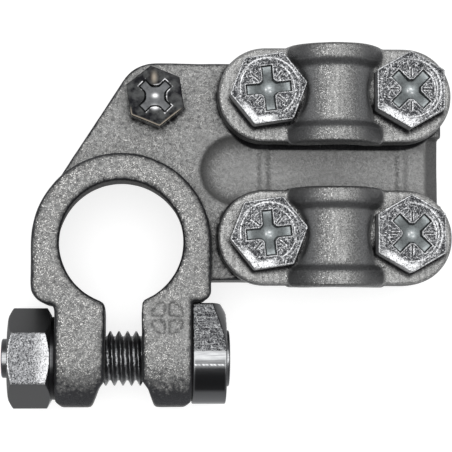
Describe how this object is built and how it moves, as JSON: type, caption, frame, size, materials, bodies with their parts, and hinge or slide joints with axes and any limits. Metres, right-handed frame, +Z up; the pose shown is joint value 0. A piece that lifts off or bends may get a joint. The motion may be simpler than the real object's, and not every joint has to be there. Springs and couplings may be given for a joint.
{
  "type": "battery terminal clamp",
  "caption": "Vehicle battery terminal clamp: a split ring pinched on the post by a bolt, and a plate where two screwed saddles grip the cable.",
  "frame": {"origin": "on the axis of the tapered post bore, in the plane of the clamp's underside", "axes": "+Z up along the post bore, out of its small end; +X along the pinch bolt from its nut to its head and along the cable plate; +Y along the cable, from the pinch bolt's side to the back"},
  "size_m": [0.0654, 0.0529, 0.0168],
  "materials": {
    "casting": "tin-plated sand casting, dull grey with a fine grain",
    "zinc_steel": "bright zinc plating with a fine speckle",
    "dark_chrome": "dark glossy plating"
  },
  "bodies": {
    "body": {"clamp_body": "casting"},
    "bolt": {"pinch_bolt": "zinc_steel"},
    "nut": {"pinch_nut": "zinc_steel"},
    "small_screw": {"accessory_screw": "dark_chrome"},
    "rear_saddle": {"cable_saddle_rear": "casting"},
    "front_saddle": {"cable_saddle_front": "casting"},
    "rear_left_screw": {"saddle_screw_rear_left": "zinc_steel"},
    "rear_right_screw": {"saddle_screw_rear_right": "zinc_steel"},
    "front_left_screw": {"saddle_screw_front_left": "zinc_steel"},
    "front_right_screw": {"saddle_screw_front_right": "zinc_steel"}
  },
  "joints": [
    {"name": "nut_turn", "type": "hinge", "parent": "body", "child": "nut", "pos_m": [-0.0096, -0.0166, 0.0072], "axis": [-1, 0, 0], "range_deg": [0, 1440]},
    {"name": "bolt_slide", "type": "slide", "parent": "body", "child": "bolt", "axis": [1, 0, 0], "range_m": [0, 0.005]},
    {"name": "small_screw_slide", "type": "slide", "parent": "body", "child": "small_screw", "axis": [0, 0, 1], "range_m": [0, 0.005]},
    {"name": "rear_saddle_lift", "type": "slide", "parent": "body", "child": "rear_saddle", "axis": [0, 0, 1], "range_m": [0, 0.005]},
    {"name": "rear_left_screw_turn", "type": "hinge", "parent": "rear_saddle", "child": "rear_left_screw", "pos_m": [0.021, 0.022, 0.0125], "axis": [0, 0, 1], "range_deg": [0, 1800]},
    {"name": "rear_right_screw_turn", "type": "hinge", "parent": "rear_saddle", "child": "rear_right_screw", "pos_m": [0.0415, 0.022, 0.0125], "axis": [0, 0, 1], "range_deg": [0, 1800]},
    {"name": "front_saddle_lift", "type": "slide", "parent": "body", "child": "front_saddle", "axis": [0, 0, 1], "range_m": [0, 0.005]},
    {"name": "front_left_screw_turn", "type": "hinge", "parent": "front_saddle", "child": "front_left_screw", "pos_m": [0.021, 0.00125, 0.0125], "axis": [0, 0, 1], "range_deg": [0, 1800]},
    {"name": "front_right_screw_turn", "type": "hinge", "parent": "front_saddle", "child": "front_right_screw", "pos_m": [0.0415, 0.00125, 0.0125], "axis": [0, 0, 1], "range_deg": [0, 1800]}
  ],
  "couplings": [
    {"joint": "nut_turn", "follows": "bolt_slide", "rad_per_m": 5026.5},
    {"joint": "rear_left_screw_turn", "follows": "rear_saddle_lift", "rad_per_m": 6283.2},
    {"joint": "rear_right_screw_turn", "follows": "rear_saddle_lift", "rad_per_m": 6283.2},
    {"joint": "front_left_screw_turn", "follows": "front_saddle_lift", "rad_per_m": 6283.2},
    {"joint": "front_right_screw_turn", "follows": "front_saddle_lift", "rad_per_m": 6283.2}
  ]
}
